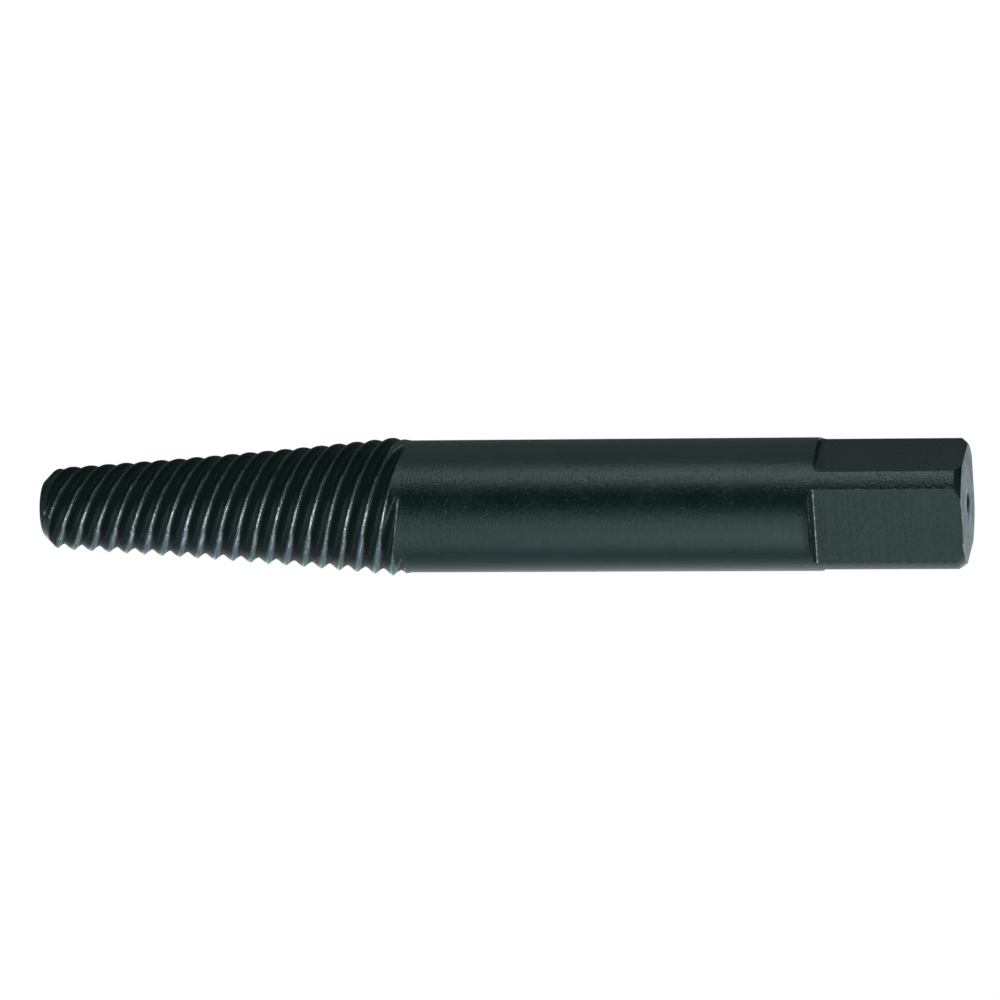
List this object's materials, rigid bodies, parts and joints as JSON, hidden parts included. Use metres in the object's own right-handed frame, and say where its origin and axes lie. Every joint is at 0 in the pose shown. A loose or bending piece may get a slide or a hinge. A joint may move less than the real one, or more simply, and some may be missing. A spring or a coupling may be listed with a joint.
{
  "type": "screw extractor",
  "caption": "Tapered extractor for broken screws, with left-hand spiral ridges, a plain round shank and a square drive end, in black steel.",
  "frame": {"origin": "centre of the drive end face, on which the extractor stands", "axes": "+Z along the axis from the drive end to the tip; the flats of the drive square face +X, -X, +Y and -Y"},
  "size_m": [0.0124, 0.0126, 0.085],
  "materials": {
    "black_steel": "oiled black oxide over turned and milled steel, satin, with edges rubbed bright"
  },
  "bodies": {
    "root": {"screw_extractor": "black_steel"}
  },
  "joints": []
}
